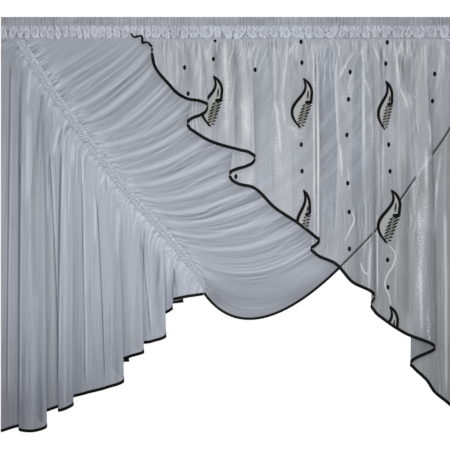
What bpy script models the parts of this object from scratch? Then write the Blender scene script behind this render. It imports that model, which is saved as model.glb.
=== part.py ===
"""Voile curtain, hung from the top edge of its heading.

A plain tail and a plain swag are gathered to a diagonal seam tape, and a sheer panel hangs in front of the swag.
Every table gives places in millimetres: across from the left end, down from the top edge, forward to the viewer.
"""

import math

import bmesh
import bpy
import numpy as np

# Driving sizes in millimetres
WIDTH = 1735.0
HEADER_DROP = 29.0
HEADING_DROP = 80.0
CLOTH = 1.0
GAP = 0.3
SEAM_GAP = 0.9
BINDING_GAP = 0.6
BINDING_WIDTH = 10.5
BINDING_DEPTH = 2.2
BINDING_PROFILE = ((0, 0), (0.3, 0.5), (0.75, 0.5), (1, 0), (0.75, -0.5), (0.3, -0.5))
TAIL_BINDING_STOP = 8.0
SWAG_BINDING_STOP = 12.0
SEAM_WIDTH = 32.0

# Gathers of the heading
PUCKER_PITCH = 41.0
PUCKER_STEPS = 3
HEADING_BACK = -2.6
HEADER_FRONT = 1.6
HEADER_RIPPLE = 0.9
TAPE_FRONT = 3.2
TAPE_EDGE_FRONT = 2.8
PUCKER_HEIGHT = 3.4
PUCKER_TOP_DROP = 37.0
PUCKER_FOOT_DROP = 66.0

# Gathers of the seam tape, which narrows to its lower end
RUCHE_PITCH = 30.0
RUCHE_EDGE = 1.2
RUCHE_LOW = 3.0
RUCHE_HIGH = 5.6
RUCHE_CREST = 0.45
SEAM_TAPER = 220.0
SEAM_END_SHARE = 0.26

# How the cloths stand away from each other below the heading
PANEL_TOP = 1.6
LINING_TOP = -1.6
LINING_BACK = 20.0
LINING_SETTLE = 120.0
RIDGE_SETTLE = 60.0
RIDGE_START = 0.4
RIDGE_GROWTH = 3.0
ACROSS_SETTLE = 360.0
FORWARD_SETTLE = 60.0
TURN_SLOPE = 0.7
FOLD_SPREAD = 0.42
HEM_STEP = 36.0
TAIL_STEP = 44.0
SEAM_STEP = 15.0
PANEL_ROWS = 10
TAIL_ROWS = 9
ROW_CROWD = 1.3
SWAG_COLUMNS = 12
SWAG_CROWD = 1.45
SHORTEST_FALL = 7.0

# across, down, forward, which way the cloth goes at a turn (-1 back, 1 forward)
FRONT_HEM = (
    (516, 89, 3, 0),
    (553, 170, 12, 0),
    (609, 245, 10, 0),
    (677, 294, 30, 0),
    (744, 317, 40, -1),
    (674, 386, 12, -1),
    (739, 440, 12, 0),
    (863, 483, 38, 0),
    (919, 507, 44, -1),
    (829, 562, 15, -1),
    (910, 616, 12, 0),
    (993, 692, 22, 0),
    (1079, 749, 24, 0),
    (1151, 808, 38, -1),
    (1123, 833, 14, -1),
    (1211, 893, 18, 0),
    (1268, 956, 24, 0),
    (1350, 1012, 39, -1),
    (1341, 1047, 15, -1),
    (1455, 1140, 28, 0),
    (1567, 1195, 42, -1),
    (1482, 1256, 14, -1),
    (1564, 1353, 16, 0),
    (1613, 1394, 23, 0),
    (1735, 1495, 15, 0),
)

# across, down, forward, which way the cloth goes at a turn (-1 back, 1 forward)
TAIL_HEM = (
    (0, 1501, 8, 0),
    (60, 1483, 2, 0),
    (86, 1480, -8, 1),
    (66, 1491, 18, 1),
    (111, 1499, 27, 0),
    (168, 1478, 23, -1),
    (130, 1446, -6, -1),
    (176, 1423, 1, 0),
    (226, 1411, -8, 1),
    (208, 1424, 17, 1),
    (264, 1400, 24, -1),
    (236, 1389, -3, -1),
    (308, 1363, 8, 0),
    (381, 1343, 19, 0),
    (446, 1313, 28, -1),
    (403, 1262, -3, -1),
    (467, 1231, 8, 0),
    (518, 1211, 21, -1),
    (479, 1190, -7, -1),
    (547, 1176, 12, 0),
    (598, 1152, 26, -1),
    (562, 1099, -10, -1),
    (621, 1052, 18, -1),
    (603, 1038, -12, -1),
    (660, 1017, -6, 0),
    (704, 1010, -10, 0),
    (732, 1006, -14, 0),
)

# across, down
SEAM_LINE = (
    (55, 70),
    (98, 132),
    (160, 232),
    (240, 344),
    (334, 473),
    (438, 609),
    (578, 765),
    (674, 881),
    (734, 975),
    (736, 997),
)

# down at the seam, angle and length of the way out, across at the heading, angle and length of the rise
SWAG_FAN = (
    (93, -25, 3, 103, 30, 3),
    (234, -32, 80, 402, 38, 108),
    (340, -28, 108, 557, 45, 145),
    (434, -12, 163, 738, 55, 217),
    (557, 0, 217, 1028, 62, 325),
    (702, 12, 308, 1365, 66, 434),
    (847, 20, 434, 1560, 70, 520),
    (916, 30, 450, 1640, 78, 480),
    (997, 55, 510, 1718, 92, 215),
)

# down at the seam, height of the ridge
SWAG_RIDGES = (
    (93, 0),
    (150, 4),
    (214, 5),
    (262, 7),
    (300, 5),
    (344, 8),
    (388, 6),
    (437, 8),
    (480, 6),
    (521, 7),
    (569, 9),
    (616, 7),
    (665, 9),
    (706, 7),
    (742, 9),
    (786, 8),
    (829, 10),
    (886, 9),
    (940, 2),
    (997, 3),
)

# name: red, green, blue, roughness
CLOTHS = {
    "voile": (0.42, 0.44, 0.50, 0.55),
    "sheer satin": (0.50, 0.52, 0.55, 0.35),
    "heading tape": (0.46, 0.48, 0.54, 0.6),
    "black satin": (0.012, 0.012, 0.013, 0.35),
}


def clear_scene():
    for item in list(bpy.data.objects):
        bpy.data.objects.remove(item, do_unlink=True)


def in_metres(point):
    across, down, forward = point
    return ((across - WIDTH / 2) / 1000, -forward / 1000, -down / 1000)


def knots_along(points):
    """The distance along a row of points, at each of them."""
    lengths = np.linalg.norm(np.diff(points, axis=0), axis=1)
    return np.concatenate(([0.0], np.cumsum(lengths)))


def directions(points):
    """The direction of a row of points, at each of them."""
    steps = np.diff(points, axis=0)
    steps /= np.linalg.norm(steps, axis=1)[:, None]
    along = np.vstack((steps[:1], steps[:-1] + steps[1:], steps[-1:]))
    return along / np.linalg.norm(along, axis=1)[:, None]


def smooth(knots, values, at, turns=None):
    """A smooth curve through the values at the knots. Where a pleat turns, the cloth goes only back or forward."""
    spans = np.diff(knots)[:, None]
    rates = np.diff(values, axis=0) / spans
    slopes = np.vstack((rates[:1], rates[-1:])) if len(rates) == 1 else np.vstack(
        (rates[:1], (spans[1:] * rates[:-1] + spans[:-1] * rates[1:]) / (spans[:-1] + spans[1:]), rates[-1:])
    )
    if turns is not None:
        slopes[turns != 0, 0] = 0.0
        slopes[turns != 0, 2] = TURN_SLOPE * turns[turns != 0]
    cell = np.clip(np.searchsorted(knots, at, side="right") - 1, 0, len(spans) - 1)
    span = spans[cell]
    s = ((at - knots[cell])[:, None]) / span
    start, end = values[cell], values[cell + 1]
    leave, arrive = slopes[cell] * span, slopes[cell + 1] * span
    return (
        (2 * s**3 - 3 * s**2 + 1) * start
        + (s**3 - 2 * s**2 + s) * leave
        + (3 * s**2 - 2 * s**3) * end
        + (s**3 - s**2) * arrive
    )


def steps_between(knots, spacing, turns):
    """Places along the knots, about this far apart and closer together towards a turn."""
    places = [knots[0]]
    for k, (start, end) in enumerate(zip(knots[:-1], knots[1:])):
        turning = turns[k] or turns[k + 1]
        count = max(3 if turning else 1, round((end - start) / spacing))
        for i in range(1, count + 1):
            share = i / count
            if turns[k] and turns[k + 1]:
                share = (1 - math.cos(math.pi * share)) / 2
            elif turns[k]:
                share = 1 - math.cos(math.pi / 2 * share)
            elif turns[k + 1]:
                share = math.sin(math.pi / 2 * share)
            places.append(start + (end - start) * share)
    return np.array(places)


def hem_line(table, spacing):
    rows = np.array(table, dtype=float)
    knots = knots_along(rows[:, :2])
    return smooth(knots, rows[:, :3], steps_between(knots, spacing, rows[:, 3]), rows[:, 3])


def lining_forward(down):
    """How far forward the swag and the seam stand at this depth below the heading."""
    fall = np.maximum(down - HEADING_DROP, 0)
    return LINING_TOP - LINING_BACK * (1 - np.exp(-fall / LINING_SETTLE))


def seam_frame(spacing):
    """Points along the middle of the seam tape, the direction towards the swag, and half the tape's width."""
    rows = np.array(SEAM_LINE, dtype=float)
    knots = knots_along(rows)
    places = np.linspace(knots[0], knots[-1], round(knots[-1] / spacing) + 1)
    middle = smooth(knots, rows, places)
    along = directions(middle)
    to_swag = np.column_stack((along[:, 1], -along[:, 0]))
    share = np.sin(math.pi / 2 * np.minimum(1.0, (knots[-1] - places) / SEAM_TAPER))
    half = SEAM_WIDTH / 2 * (SEAM_END_SHARE + (1 - SEAM_END_SHARE) * share)
    return middle, to_swag, half


def gathered_top(hem, left, right):
    """Where each string of cloth leaves the heading: pleats are drawn together there, never crossing."""
    length = knots_along(hem)
    even = left + (right - left) * length / length[-1]
    front = np.maximum.accumulate(hem[:, 0])
    front = left + (front - front[0]) / (front[-1] - front[0]) * (right - left)
    return FOLD_SPREAD * front + (1 - FOLD_SPREAD) * even


def hang(top, foot, rows):
    """One string of cloth, from its place at the heading or seam to the hem, settling into its pleat."""
    fall = max(foot[1] - top[1], SHORTEST_FALL)
    share = np.linspace(0, 1, rows + 1) ** ROW_CROWD
    sideways = (1 - np.exp(-share * fall / ACROSS_SETTLE)) / (1 - math.exp(-fall / ACROSS_SETTLE))
    outward = (1 - np.exp(-share * fall / FORWARD_SETTLE)) / (1 - math.exp(-fall / FORWARD_SETTLE))
    return np.column_stack((
        top[0] + (foot[0] - top[0]) * sideways,
        top[1] + fall * share,
        top[2] + (foot[2] - top[2]) * outward,
    ))


def front_strings():
    hem = hem_line(FRONT_HEM, HEM_STEP)
    tops = gathered_top(hem, hem[0, 0], WIDTH)
    under = HEADING_DROP + GAP
    return np.array([hang(np.array((a, under, PANEL_TOP)), foot, PANEL_ROWS) for a, foot in zip(tops, hem)])


def tail_strings():
    hem = hem_line(TAIL_HEM, TAIL_STEP)
    middle, to_swag, half = seam_frame(SEAM_STEP)
    edge = middle - to_swag * (half + SEAM_GAP)[:, None]
    tops = gathered_top(hem, 0.0, edge[-1, 0])
    strings = []
    for a, foot in zip(tops, hem):
        down = max(HEADING_DROP + GAP, float(np.interp(a, edge[:, 0], edge[:, 1])))
        strings.append(hang(np.array((a, down, lining_forward(down))), foot, TAIL_ROWS))
    return np.array(strings)


def ridge_places():
    """Places along the seam at each ridge, in the trough after it and half-way to both, with the height there."""
    places = []
    for (start, height), (end, following) in zip(SWAG_RIDGES[:-1], SWAG_RIDGES[1:]):
        trough = -(height + following) / 2
        places.append((start, height))
        places.append((start + (end - start) * 0.25, (height + trough) / 2))
        places.append((start + (end - start) * 0.5, trough))
        places.append((start + (end - start) * 0.75, (following + trough) / 2))
    places.append(SWAG_RIDGES[-1])
    return places


def swag_strings():
    """Fold lines of the swag, fanned out from the seam and rising to the heading."""
    middle, to_swag, half = seam_frame(SEAM_STEP)
    edge = middle + to_swag * (half + SEAM_GAP)[:, None]
    fan = np.array(SWAG_FAN, dtype=float)
    share = (np.linspace(0, 1, SWAG_COLUMNS + 1) ** SWAG_CROWD)[:, None]
    strings = []
    for place, height in ridge_places():
        out_angle, out, across, rise_angle, rise = smooth(fan[:, 0], fan[:, 1:], np.array([place]))[0]
        start = np.array([np.interp(place, middle[:, 1], edge[:, k]) for k in (0, 1)])
        end = np.array((across, HEADING_DROP + GAP))
        out_angle, rise_angle = math.radians(out_angle), math.radians(rise_angle)
        leave = start + out * np.array((math.cos(out_angle), math.sin(out_angle)))
        arrive = end - rise * np.array((math.cos(rise_angle), -math.sin(rise_angle)))
        line = (
            (1 - share) ** 3 * start
            + 3 * share * (1 - share) ** 2 * leave
            + 3 * share**2 * (1 - share) * arrive
            + share**3 * end
        )
        line[:, 1] = np.maximum(line[:, 1], end[1])
        open_out = np.minimum(1, RIDGE_START + RIDGE_GROWTH * share[:, 0])
        open_out *= 1 - np.exp(-(line[:, 1] - end[1]) / RIDGE_SETTLE)
        strings.append(np.column_stack((line, lining_forward(line[:, 1]) + height * open_out)))
    return np.array(strings)


def make_material(name):
    red, green, blue, roughness = CLOTHS[name]
    material = bpy.data.materials.new(name)
    material.use_nodes = True
    shader = material.node_tree.nodes["Principled BSDF"]
    shader.inputs["Base Color"].default_value = (red, green, blue, 1)
    shader.inputs["Roughness"].default_value = roughness
    shader.inputs["Metallic"].default_value = 0
    return material


def add_object(name, mesh_maker, material, parent):
    mesh = bpy.data.meshes.new(name)
    mesh_maker.to_mesh(mesh)
    mesh_maker.free()
    mesh.shade_smooth()
    mesh.materials.append(material)
    piece = bpy.data.objects.new(name, mesh)
    bpy.context.scene.collection.objects.link(piece)
    piece.parent = parent
    return piece


def add_sheet(name, strings, material, parent):
    """A thin closed cloth through the strings, its first side facing forward."""
    maker = bmesh.new()
    along = np.stack([directions(strings[:, i]) for i in range(strings.shape[1])], axis=1)
    down = np.stack([directions(string) for string in strings])
    facing = np.cross(along, down)
    facing *= CLOTH / 2 / np.linalg.norm(facing, axis=2)[:, :, None]
    near, far = (
        [[maker.verts.new(in_metres(point)) for point in string] for string in side]
        for side in (strings + facing, strings - facing)
    )
    for i in range(len(near) - 1):
        for j in range(len(near[i]) - 1):
            maker.faces.new((near[i][j], near[i][j + 1], near[i + 1][j]))
            maker.faces.new((near[i + 1][j], near[i][j + 1], near[i + 1][j + 1]))
            maker.faces.new((far[i][j + 1], far[i][j], far[i + 1][j]))
            maker.faces.new((far[i][j + 1], far[i + 1][j], far[i + 1][j + 1]))
    near_rim, far_rim = (
        [string[0] for string in side] + side[-1][1:] + [string[-1] for string in side[-2::-1]] + side[0][-2:0:-1]
        for side in (near, far)
    )
    for i in range(len(near_rim)):
        maker.faces.new((near_rim[i - 1], near_rim[i], far_rim[i], far_rim[i - 1]))
    bmesh.ops.recalc_face_normals(maker, faces=maker.faces)
    return add_object(name, maker, material, parent)


def add_band(name, sections, material, parent):
    """A closed band whose sections all have the same number of corners."""
    maker = bmesh.new()
    loops = [[maker.verts.new(in_metres(point)) for point in section] for section in sections]
    corners = len(loops[0])
    for first, second in zip(loops[:-1], loops[1:]):
        for i in range(corners):
            j = (i + 1) % corners
            maker.faces.new((first[i], first[j], second[j], second[i]))
    maker.faces.new(loops[0][::-1])
    maker.faces.new(loops[-1])
    bmesh.ops.recalc_face_normals(maker, faces=maker.faces)
    return add_object(name, maker, material, parent)


def hem_binding(edge, inside, stop=0.0):
    """Sections of the binding just outside a hem, stopping short of its end. The inside points lie in the cloth."""
    length = knots_along(edge)
    keep = length <= length[-1] - stop
    edge, inside = edge[keep], inside[keep]
    along = directions(edge)
    outward = edge - inside
    outward -= (outward * along).sum(axis=1)[:, None] * along
    outward /= np.linalg.norm(outward, axis=1)[:, None]
    across_cloth = np.cross(outward, along)
    sections = []
    for point, out, normal in zip(edge, outward, across_cloth):
        sections.append([
            point + out * (BINDING_GAP + BINDING_WIDTH * reach) + normal * BINDING_DEPTH * side
            for reach, side in BINDING_PROFILE
        ])
    return sections


def heading_sections():
    """Upright sections of the heading, one after another along its length."""
    count = round(WIDTH / PUCKER_PITCH) * PUCKER_STEPS
    sections = []
    for i in range(count + 1):
        across = WIDTH * i / count
        phase = 2 * math.pi * i / PUCKER_STEPS
        swell = 0.5 + 0.5 * math.cos(phase)
        header = HEADER_FRONT - HEADER_RIPPLE * swell
        puff = TAPE_FRONT + PUCKER_HEIGHT * swell
        sections.append((
            (across, 0, header),
            (across, HEADER_DROP, header),
            (across, PUCKER_TOP_DROP, puff),
            (across, PUCKER_FOOT_DROP, puff),
            (across, HEADING_DROP, TAPE_EDGE_FRONT),
            (across, HEADING_DROP, HEADING_BACK),
            (across, 0, HEADING_BACK),
        ))
    return sections


def seam_sections():
    """Sections across the seam tape, ruched along it, and cut level under the heading."""
    middle, to_swag, half = seam_frame(RUCHE_PITCH / 2)
    sections = []
    for i, (point, side, reach) in enumerate(zip(middle, to_swag, half)):
        forward = float(lining_forward(point[1]))
        ruche = RUCHE_HIGH if i % 2 else RUCHE_LOW
        profile = (
            (-1, RUCHE_EDGE),
            (-RUCHE_CREST, ruche),
            (RUCHE_CREST, ruche),
            (1, RUCHE_EDGE),
            (1, -CLOTH / 2),
            (-1, -CLOTH / 2),
        )
        section = []
        for share, depth in profile:
            across, down = point + side * reach * share
            section.append((across, max(down, HEADING_DROP + GAP), forward + depth))
        sections.append(section)
    return sections


def build():
    clear_scene()
    rail = bpy.data.objects.new("curtain_top", None)
    bpy.context.scene.collection.objects.link(rail)
    cloth = {name: make_material(name) for name in CLOTHS}

    tail = tail_strings()
    swag = swag_strings()
    front = front_strings()
    add_sheet("tail_panel", tail, cloth["voile"], rail)
    add_sheet("swag_panel", swag, cloth["voile"], rail)
    add_sheet("front_panel", front, cloth["sheer satin"], rail)
    add_band("heading", heading_sections(), cloth["heading tape"], rail)
    add_band("seam_tape", seam_sections(), cloth["heading tape"], rail)
    add_band("tail_binding", hem_binding(tail[:, -1], tail[:, -2], TAIL_BINDING_STOP), cloth["black satin"], rail)
    add_band("front_binding", hem_binding(front[:, -1], front[:, -2]), cloth["black satin"], rail)
    add_band("swag_binding", hem_binding(swag[-1], swag[-2], SWAG_BINDING_STOP), cloth["black satin"], rail)


build()
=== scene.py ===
"""The look of a draped voile curtain: a plain tail and swag, a sheer embroidered panel and satin-bound hems.

Places are in millimetres: across from the left end, down from the top edge, forward to the viewer.
"""

import math

import bmesh
import bpy
import numpy as np
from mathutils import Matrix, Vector
from mathutils.bvhtree import BVHTree


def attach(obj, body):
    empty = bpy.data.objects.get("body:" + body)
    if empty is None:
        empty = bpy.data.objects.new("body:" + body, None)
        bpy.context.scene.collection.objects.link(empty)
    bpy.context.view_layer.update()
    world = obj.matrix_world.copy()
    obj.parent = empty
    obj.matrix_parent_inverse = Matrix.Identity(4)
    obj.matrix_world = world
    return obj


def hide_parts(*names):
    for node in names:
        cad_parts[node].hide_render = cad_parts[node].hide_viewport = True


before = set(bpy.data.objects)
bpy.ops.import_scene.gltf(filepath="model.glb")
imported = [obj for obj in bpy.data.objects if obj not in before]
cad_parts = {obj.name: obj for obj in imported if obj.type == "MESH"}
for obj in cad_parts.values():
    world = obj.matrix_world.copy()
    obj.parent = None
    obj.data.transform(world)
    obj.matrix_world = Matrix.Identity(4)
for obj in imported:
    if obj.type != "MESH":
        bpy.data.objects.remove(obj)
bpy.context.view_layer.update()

# Sizes of the curtain
WIDTH = 1735.0
HEADER_DROP = 29.0
HEADING_DROP = 80.0
CLOTH_TOP = HEADING_DROP + 0.3
SEAM_TUCK = 3.0
SEAM_STEP = 6.0
PANEL_BINDING_WIDTH = 11.5
TAIL_BINDING_WIDTH = 11.0
TAIL_LIFT = 3.0
SWAG_BINDING_WIDTH = 9.5
BINDING_DEPTH = 2.4
BINDING_CORNERS = 10
BINDING_START_SHARE = 0.85
BINDING_SQUARENESS = 0.6
SWAG_BINDING_STOP = 1.5
SWAG_BINDING_WRAP = 0.1
PANEL_BINDING_LEAD = 120.0
NARROW_STEPS = 40
NARROW_START_SHARE = 0.6
SEAM_WIDTH = 36.0
SEAM_TAPER = 220.0
SEAM_END_SHARE = 0.26
TAPE_STEP = 2.0
TAPE_CORNERS = 15
TAPE_BACK = -1.0
PUCKER_PITCH = 7.5
HEADING_STEP = 2.6
HEADING_ROWS = 40
HEADING_BACK = -2.6

# How far apart the heading's puffs are at its left and at its right, and where across that changes
PUFF_PITCHES = (27, 41)
PUFF_CHANGE = (450, 750)

# share of the pitch that the row is moved by, down at its middle and at its foot, height, first random number
PUFF_ROWS = ((0.0, 47, 77, 4.0, 0), (0.5, 28, 50, 2.4, 80))

# How the cloths stand away from each other below the heading
PANEL_TOP = 1.6
LINING_TOP = -1.6
LINING_BACK = 20.0
LINING_SETTLE = 120.0
RIDGE_SETTLE = 60.0
RIDGE_START = 0.4
RIDGE_GROWTH = 3.0
ACROSS_SETTLE = 360.0
PANEL_SETTLE = 200.0
TAIL_SETTLE = 450.0
TURN_SLOPE = 0.7
FOLD_SPREAD = 0.42
SHORTEST_FALL = 7.0

# How strongly the folds show in the colour of the cloth as painted shade, painted highlights and painted
# glints
PAINTED_SHADE_LIMIT = 0.35
CREASE_PAINTED_SHADE = 0.13
CREASE_SHARE = 0.4
PANEL_PAINTED_EDGE_LIGHT = 0.14
TAIL_PAINTED_EDGE_LIGHT = 0.10
PAINTED_GLINT_WANDER = 3.0

# How long a crease takes to start and to end: at most this long, and at most this share of its length
CREASE_LEAD = (45, 0.25)
CREASE_TRAIL = (90, 0.35)

# How much faster than evenly a crease moves across at its start
CREASE_RUSH = 0.4

# How far below the heading or the seam each thing comes in: where it has none and where it is full
PANEL_GATHERS_IN = (0, 16)
PANEL_CREASES_IN = (0, 30)
PANEL_LAYERS_IN = (10, 50)
PANEL_STEEP_IN = (30, 120)
TAIL_GATHERS_IN = (0, 14)
TAIL_CREASES_IN = (0, 50)
TAIL_LAYERS_IN = (20, 90)
SWAG_WANDER_IN = (0, 120)
SWAG_FULLER_IN = (150, 450)

# The length over which the fullness of the cloth fades, below the heading and beside the seam
PANEL_FULL_TOP = 60.0
SEAM_FULL_TOP = 90.0

# How far down the panel's fine gathers and its doubled bands weaken, and by how much
CALMER = (500, 900)
CALMER_BY = 0.7
SINGLER = (500, 850)
SINGLER_BY = 0.45

# Half the width and height of the cloth that a leaf stiffens, the shares of them where that is over and where
# it is full, and how calm the cloth lies
LEAF_STIFFENS = (42, 112)
STIFF_EDGE = (1.25, 0.85)
LEAF_CALM = 0.85

# How finely the cloths are laid out
PANEL_STEP = 2.9
PANEL_ROWS = 90
TAIL_STEP = 2.0
TAIL_ROWS = 110
TURN_STEPS = 8
ROW_CROWD = 1.4
SWAG_PITCH = 2.5
SWAG_ROWS = 150
SWAG_CROWD = 1.3

# How far the swag's hem sags behind the panel and where across each sag starts and is full, where across both
# are over and where they start to end, and how far down the seam the folds begin that sag
SAGS = ((20.0, 1230, 1450), (36.0, 1500, 1640))
SAG_END = (1718, 1640)
SAG_FROM = 880

# How far the tail's gathers lean to the left below the seam, and over what length
TAIL_LEAN = 22.0
TAIL_LEAN_FALL = 34.0

# How the swag's folds are shaped, the stretch down the seam over which they calm towards its foot, and the
# stretch over which its layers come in
RIDGE_SHARE = 0.5
RIDGE_SHARPNESS = 1.6
SWAG_FOOT = (890, 935)
FOOT_CALM = 0.88
SWAG_LAYERS_IN = (860, 930)

# across, down, forward, which way the cloth goes at a turn (-1 back, 1 forward)
FRONT_HEM = (
    (512, 96, 6, 0), (526, 92, 8, 0), (543, 104, 8, 0), (548, 135, 10, 0), (554, 170, 12, 0),
    (609, 245, 10, 0), (638, 276, 17, 0), (677, 298, 30, 0), (724, 307, 37, 0), (748, 321, 40, -1),
    (743, 341, 31, 0), (721, 356, 23, 0), (694, 366, 15, 0), (680, 376, 13, 0), (676, 387, 12, -1),
    (681, 400, 11, 0), (703, 417, 11, 0), (739, 440, 12, 0), (863, 482, 38, 0), (900, 492, 42, 0),
    (919, 510, 44, -1), (911, 528, 35, 0), (886, 541, 27, 0), (847, 553, 18, 0), (832, 561, 16, 0),
    (829, 571, 15, -1), (833, 586, 14, 0), (853, 601, 13, 0), (910, 616, 12, 0), (993, 692, 22, 0),
    (1079, 749, 24, 0), (1136, 795, 35, 0), (1151, 808, 38, -1), (1142, 821, 28, 0), (1122, 838, 14, -1),
    (1139, 857, 14, 0), (1211, 893, 18, 0), (1268, 956, 24, 0), (1350, 1012, 39, -1),
    (1339, 1038, 15, -1), (1354, 1067, 14, 0), (1390, 1097, 18, 0), (1455, 1140, 28, 0),
    (1567, 1195, 42, -1), (1481, 1253, 14, -1), (1494, 1269, 13, 0), (1544, 1318, 15, 0),
    (1564, 1350, 17, 0), (1613, 1392, 23, 0), (1735, 1495, 15, 0),
)

# across at the start and end of each stretch where the panel's doubled cloth hides the swag's hem
HEM_HIDDEN = ((1361, 1433), (1502, 1560))
HIDDEN_EDGE = 4.0

# The loose end of the panel's binding on the heading, and the stretches of the tail's binding that show below
# the next pleat's hem: name, width, and across, down and forward along each
LOOSE_BINDINGS = (
    ("panel_binding_end", 9.5, ((470, 60, 9), (481, 73, 9), (508, 70, 9), (513, 97, 8))),
    ("tail_binding_turn_1", 14.0, ((438, 1245, 2), (464, 1241, 2))),
    ("tail_binding_turn_2", 14.0, ((612, 1035, -9), (636, 1031, -9), (660, 1027, -9))),
)

# across, down, forward, which way the cloth goes at a turn (-1 back, 1 forward)
TAIL_HEM = (
    (0, 1501, 8, 0), (60, 1483, 2, 0), (86, 1480, -8, 1), (66, 1491, 18, 1), (111, 1499, 27, 0),
    (168, 1478, 23, -1), (130, 1446, -6, -1), (176, 1423, 1, 0), (226, 1411, -8, 1), (208, 1424, 17, 1),
    (264, 1400, 24, -1), (236, 1389, -3, -1), (308, 1363, 8, 0), (381, 1343, 19, 0), (446, 1313, 28, -1),
    (403, 1262, -3, -1), (467, 1231, 8, 0), (518, 1211, 21, -1), (479, 1190, -7, -1), (547, 1176, 12, 0),
    (598, 1152, 26, -1), (562, 1099, -10, -1), (621, 1052, 18, -1), (603, 1038, -12, -1),
    (660, 1017, -6, 0), (704, 1010, -10, 0), (732, 1006, -14, 0),
)

# across, down
SEAM_LINE = (
    (55, 70), (98, 132), (160, 232), (240, 344), (334, 473), (438, 609), (578, 765), (674, 881),
    (734, 975), (736, 997),
)

# down at the seam, angle and length of the way out, across at the heading, angle and length of the rise
SWAG_FAN = (
    (84, -25, 3, 88, 30, 3),
    (234, -32, 80, 402, 38, 108),
    (340, -28, 108, 557, 45, 145),
    (434, -12, 163, 738, 55, 217),
    (557, 0, 217, 1028, 62, 325),
    (702, 12, 308, 1365, 66, 434),
    (847, 20, 434, 1560, 70, 520),
    (916, 30, 450, 1640, 78, 480),
    (997, 55, 510, 1718, 92, 215),
)

# down at the seam, height of the ridge
SWAG_RIDGES = (
    (84, 0), (150, 4), (214, 5), (262, 7), (300, 5), (344, 8), (388, 6), (437, 8), (480, 6), (521, 7),
    (569, 9), (616, 7), (665, 9), (706, 7), (742, 9), (786, 8), (829, 10), (886, 9), (940, 2), (997, 3),
)

# across at its start, across at its end, down at its start, down at its end, half its width, height or depth
PANEL_CREASES = (
    (634, 640, 100, 270, 5, 3), (677, 680, 90, 290, 12, -2.5), (720, 722, 85, 330, 4, 3.5),
    (780, 784, 90, 440, 12, -2.5), (811, 815, 85, 470, 6, 3), (846, 850, 90, 500, 10, -2),
    (880, 892, 110, 500, 14, 1.0), (927, 898, 88, 160, 3, 4.55), (941, 912, 92, 215, 3, 3.9),
    (974, 927, 100, 215, 3, 3.9), (988, 990, 90, 320, 5, 2.5), (990, 1013, 300, 500, 3, 6.5),
    (1071, 1040, 84, 145, 3, 4.55), (1039, 1017, 110, 310, 4, 3.5), (1017, 1028, 290, 400, 5, 3),
    (1074, 1068, 90, 175, 3, 3.9), (1122, 1131, 84, 180, 3, 3.9), (1131, 1133, 140, 820, 3, 5.2),
    (1137, 1140, 140, 820, 3, -4), (1144, 1147, 140, 820, 3, 5.2), (1151, 1162, 86, 200, 3, 4.55),
    (1184, 1164, 90, 160, 3, 3.9), (1180, 1166, 140, 270, 3, 3.9), (1202, 1220, 90, 500, 4, 3),
    (1233, 1220, 90, 150, 3, 3.9), (1292, 1215, 112, 238, 3, 4.6), (1279, 1252, 190, 275, 3, 3.6),
    (1310, 1340, 210, 315, 4, 3.2), (1252, 1229, 165, 225, 3, 3.9), (1227, 1234, 470, 570, 3, 5.85),
    (1256, 1260, 540, 640, 3, 3.9), (1308, 1311, 90, 500, 4, 3.5), (1339, 1372, 90, 175, 3, 4.55),
    (1376, 1376, 85, 500, 5, -3.5), (1386, 1380, 85, 720, 3, 3.9), (1367, 1368, 480, 780, 3, 3.9),
    (1361, 1361, 700, 1040, 3, 6.5), (1339, 1328, 800, 1010, 6, 3), (1426, 1440, 90, 275, 3, 5.2),
    (1440, 1474, 255, 340, 3, 5.85), (1442, 1470, 120, 310, 12, -3), (1452, 1437, 86, 140, 3, 3.9),
    (1474, 1480, 90, 160, 3, 3.9), (1462, 1466, 500, 1130, 16, -1.6), (1535, 1546, 86, 240, 5, 3.5),
    (1549, 1553, 380, 470, 3, 5.2), (1535, 1536, 470, 650, 6, 4), (1538, 1506, 610, 1060, 12, 1.8),
    (1512, 1520, 900, 1170, 5, 3), (1589, 1575, 160, 280, 4, 3), (1593, 1571, 480, 680, 4, 3),
    (1578, 1564, 580, 830, 6, 3), (1605, 1610, 700, 1380, 5, 3.5), (1650, 1652, 90, 1400, 16, -2),
    (1694, 1696, 90, 1430, 8, 3),
)

# across at its start, across at its end, down at its start, down at its end, half its width, strength
# Lines of painted glint on the sheer satin
PAINTED_GLINT_LINES = (
    (873, 895, 290, 450, 11, 0.5), (990, 1014, 290, 510, 4, 1.6), (1045, 1080, 390, 450, 14, 0.7),
    (1338, 1346, 340, 480, 7, 1.0), (1476, 1484, 270, 340, 7, 0.8), (1228, 1234, 450, 600, 4, 1.3),
    (1549, 1553, 360, 490, 6, 1.0), (1540, 1546, 1040, 1210, 4, 0.5),
)

# across at the left edge of each band of the panel's cloth, and how doubled it is (below 0: sheerer)
PANEL_BANDS = (
    (500, 0.1), (576, 0.3), (630, -0.4), (665, 0.3), (700, 0.0), (735, 0.7), (765, -0.3), (790, 0.4),
    (840, -0.5), (865, 0.4), (898, 0.1), (916, -0.45), (988, 0.2), (1017, 0.3), (1046, -0.2),
    (1126, 0.5), (1148, -0.8), (1209, 0.5), (1222, 0.1), (1263, -0.7), (1306, 0.5), (1319, -0.4),
    (1350, 0.4), (1370, -0.6), (1383, 0.3), (1397, 0.0), (1423, 0.6), (1459, -0.5), (1491, 0.5),
    (1531, 0.9), (1543, -0.7), (1562, -0.3), (1584, 0.3), (1602, -0.3), (1640, 0.3), (1668, -0.2),
    (1700, 0.4),
)

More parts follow.
